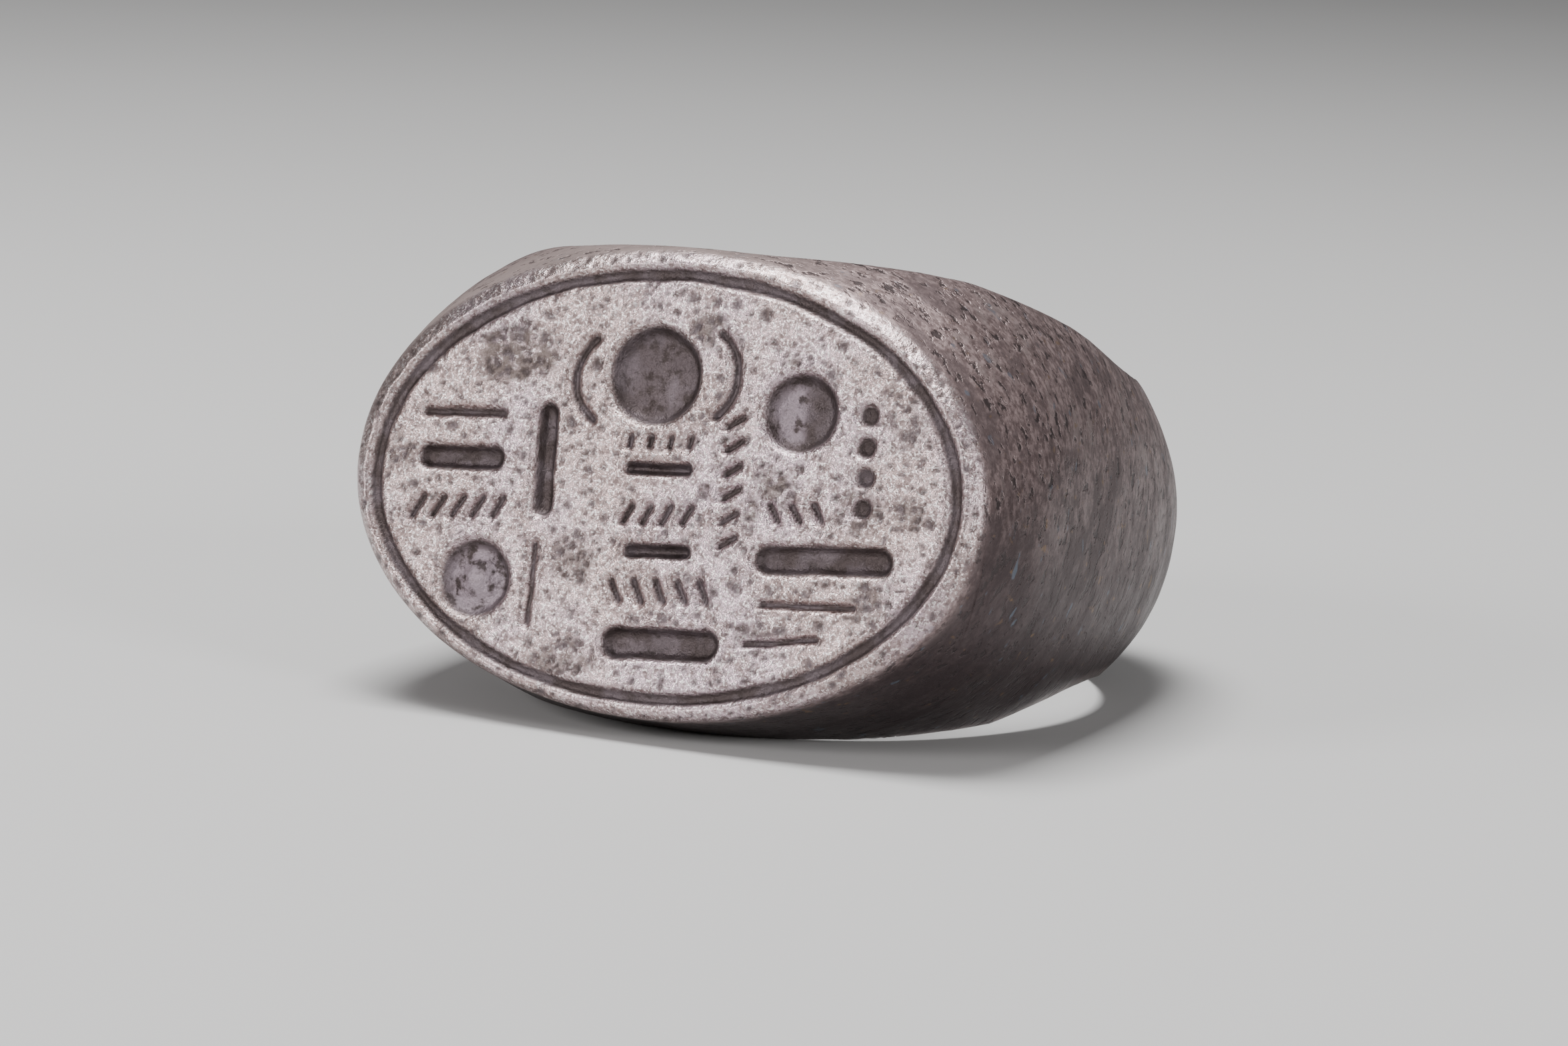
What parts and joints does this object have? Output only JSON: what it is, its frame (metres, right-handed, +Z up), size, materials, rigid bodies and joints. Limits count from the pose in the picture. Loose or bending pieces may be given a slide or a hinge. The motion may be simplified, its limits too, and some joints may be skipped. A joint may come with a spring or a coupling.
{
  "type": "seal ring",
  "caption": "Ancient cast seal ring with a flat oval engraved face, full shoulders and a crowned hoop, lying on its side.",
  "frame": {"origin": "on the ground under the middle of the lying ring's box", "axes": "+Z up, the sealing face looks towards -Y and up by its lean, +X along the face's long axis"},
  "size_m": [0.0228, 0.0244, 0.0147],
  "materials": {
    "silver": "worn cast silver, pitted, dark tarnish in the hollows and round the hoop"
  },
  "bodies": {
    "root": {"seal_ring": "silver"}
  },
  "joints": []
}
